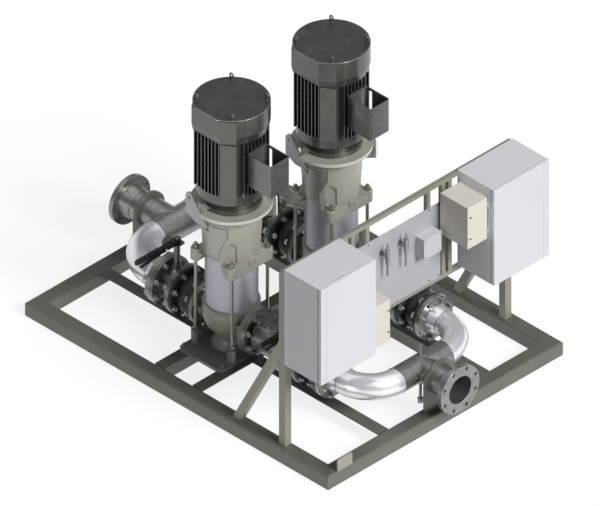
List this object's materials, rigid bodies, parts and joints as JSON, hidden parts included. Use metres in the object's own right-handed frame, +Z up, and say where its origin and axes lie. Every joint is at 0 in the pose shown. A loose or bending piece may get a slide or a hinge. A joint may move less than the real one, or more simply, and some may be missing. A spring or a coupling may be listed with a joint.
{
  "type": "feed pump skid",
  "caption": "Base-frame pump skid with vertical in-line motor pumps between flanged suction and discharge headers, lever valves, and a rack with cabinets and instrument panel.",
  "frame": {"origin": "centre of the base frame's underside on the floor", "axes": "+X in the flow direction from inlet to outlet flange, +Z up, +Y to the right pump line"},
  "size_m": [2.424, 1.712, 1.67],
  "materials": {
    "frame_paint": "satin",
    "support_steel": "satin",
    "rack_paint": "satin",
    "pipe_steel": "bright",
    "enclosure_white": "satin",
    "junction_grey": "satin",
    "transmitter_shell": "satin",
    "enclosure_cream": "satin",
    "rubber_black": "matte",
    "valve_cast": "painted, satin",
    "sleeve_steel": "satin",
    "guard_steel": "satin",
    "lug_steel": "satin",
    "rod_steel": "satin",
    "motor_paint": "satin",
    "pump_cast": "painted, satin",
    "stool_paint": "satin",
    "machined_steel": "machined",
    "lever_black": "satin"
  },
  "bodies": {
    "skid": {"side_rails": "frame_paint", "end_members": "frame_paint", "inner_angles": "frame_paint", "suction_header": "pipe_steel", "discharge_header": "pipe_steel", "pipe_supports": "support_steel", "rack_posts": "rack_paint", "rack_rails": "rack_paint", "rack_braces": "rack_paint", "instrument_panel": "enclosure_white", "junction_box": "junction_grey", "pressure_transmitters": "transmitter_shell", "control_boxes": "enclosure_cream", "suction_connectors": "rubber_black", "discharge_connectors": "rubber_black", "check_valve_bodies": "valve_cast", "suction_valve_bodies": "valve_cast", "discharge_valve_bodies": "valve_cast", "pump_sleeves": "sleeve_steel", "stage_chambers": "sleeve_steel", "coupling_guards": "guard_steel", "lifting_lugs": "lug_steel", "tie_rods": "rod_steel", "motor_eyebolts": "motor_paint", "terminal_boxes": "motor_paint", "left_pump_base": "pump_cast", "left_motor_stool": "stool_paint", "left_motor_housing": "motor_paint", "left_fan_cowl": "motor_paint", "left_cabinet": "enclosure_white", "right_pump_base": "pump_cast", "right_motor_stool": "stool_paint", "right_motor_housing": "motor_paint", "right_fan_cowl": "motor_paint", "right_cabinet": "enclosure_white"},
    "left_rotor": {"left_impeller_shaft": "machined_steel", "left_coupling": "machined_steel", "left_motor_rotor": "machined_steel"},
    "left_suction_valve": {"left_suction_valve_disc": "machined_steel", "left_suction_valve_lever": "lever_black"},
    "left_suction_valve_grip": {"left_suction_valve_trigger": "lever_black"},
    "left_discharge_valve": {"left_discharge_valve_disc": "machined_steel", "left_discharge_valve_lever": "lever_black"},
    "left_discharge_valve_grip": {"left_discharge_valve_trigger": "lever_black"},
    "left_check": {"left_check_flap": "machined_steel"},
    "left_door": {"left_cabinet_door": "enclosure_white"},
    "left_cover": {"left_control_box_cover": "enclosure_cream"},
    "right_rotor": {"right_impeller_shaft": "machined_steel", "right_coupling": "machined_steel", "right_motor_rotor": "machined_steel"},
    "right_suction_valve": {"right_suction_valve_disc": "machined_steel", "right_suction_valve_lever": "lever_black"},
    "right_suction_valve_grip": {"right_suction_valve_trigger": "lever_black"},
    "right_discharge_valve": {"right_discharge_valve_disc": "machined_steel", "right_discharge_valve_lever": "lever_black"},
    "right_discharge_valve_grip": {"right_discharge_valve_trigger": "lever_black"},
    "right_check": {"right_check_flap": "machined_steel"},
    "right_door": {"right_cabinet_door": "enclosure_white"},
    "right_cover": {"right_control_box_cover": "enclosure_cream"}
  },
  "joints": [
    {"name": "left_rotor_spin", "type": "hinge", "parent": "skid", "child": "left_rotor", "pos_m": [-0.091, -0.364, 0.7], "axis": [0, 0, 1], "continuous": true},
    {"name": "left_suction_valve_turn", "type": "hinge", "parent": "skid", "child": "left_suction_valve", "pos_m": [-0.489, -0.364, 0.265], "axis": [0, 0, -1], "range_deg": [0, 90]},
    {"name": "left_suction_valve_squeeze", "type": "hinge", "parent": "left_suction_valve", "child": "left_suction_valve_grip", "pos_m": [-0.489, -0.468, 0.526], "axis": [-1, 0, 0], "range_deg": [0, 7], "stiffness_Nm_per_rad": 3, "springref_deg": -6.88},
    {"name": "left_discharge_valve_turn", "type": "hinge", "parent": "skid", "child": "left_discharge_valve", "pos_m": [0.422, -0.364, 0.265], "axis": [0, 0, 1], "range_deg": [0, 90]},
    {"name": "left_discharge_valve_squeeze", "type": "hinge", "parent": "left_discharge_valve", "child": "left_discharge_valve_grip", "pos_m": [0.422, -0.468, 0.46], "axis": [-1, 0, 0], "range_deg": [0, 7], "stiffness_Nm_per_rad": 3, "springref_deg": -6.88},
    {"name": "left_check_swing", "type": "hinge", "parent": "skid", "child": "left_check", "pos_m": [0.163, -0.364, 0.339], "axis": [0, -1, 0], "range_deg": [0, 50]},
    {"name": "left_door_swing", "type": "hinge", "parent": "skid", "child": "left_door", "pos_m": [1.013, -0.824, 0.913], "axis": [0, 0, -1], "range_deg": [0, 110]},
    {"name": "left_cover_swing", "type": "hinge", "parent": "skid", "child": "left_cover", "pos_m": [0.987, -0.427, 0.738], "axis": [0, 0, -1], "range_deg": [0, 95]},
    {"name": "right_rotor_spin", "type": "hinge", "parent": "skid", "child": "right_rotor", "pos_m": [-0.091, 0.364, 0.7], "axis": [0, 0, 1], "continuous": true},
    {"name": "right_suction_valve_turn", "type": "hinge", "parent": "skid", "child": "right_suction_valve", "pos_m": [-0.489, 0.364, 0.265], "axis": [0, 0, -1], "range_deg": [0, 90]},
    {"name": "right_suction_valve_squeeze", "type": "hinge", "parent": "right_suction_valve", "child": "right_suction_valve_grip", "pos_m": [-0.489, 0.26, 0.526], "axis": [-1, 0, 0], "range_deg": [0, 7], "stiffness_Nm_per_rad": 3, "springref_deg": -6.88},
    {"name": "right_discharge_valve_turn", "type": "hinge", "parent": "skid", "child": "right_discharge_valve", "pos_m": [0.422, 0.364, 0.265], "axis": [0, 0, 1], "range_deg": [0, 90]},
    {"name": "right_discharge_valve_squeeze", "type": "hinge", "parent": "right_discharge_valve", "child": "right_discharge_valve_grip", "pos_m": [0.422, 0.26, 0.46], "axis": [-1, 0, 0], "range_deg": [0, 7], "stiffness_Nm_per_rad": 3, "springref_deg": -6.88},
    {"name": "right_check_swing", "type": "hinge", "parent": "skid", "child": "right_check", "pos_m": [0.163, 0.364, 0.339], "axis": [0, -1, 0], "range_deg": [0, 50]},
    {"name": "right_door_swing", "type": "hinge", "parent": "skid", "child": "right_door", "pos_m": [1.013, 0.824, 0.913], "axis": [0, 0, 1], "range_deg": [0, 110]},
    {"name": "right_cover_swing", "type": "hinge", "parent": "skid", "child": "right_cover", "pos_m": [0.987, 0.427, 1.024], "axis": [0, 0, 1], "range_deg": [0, 95]}
  ]
}
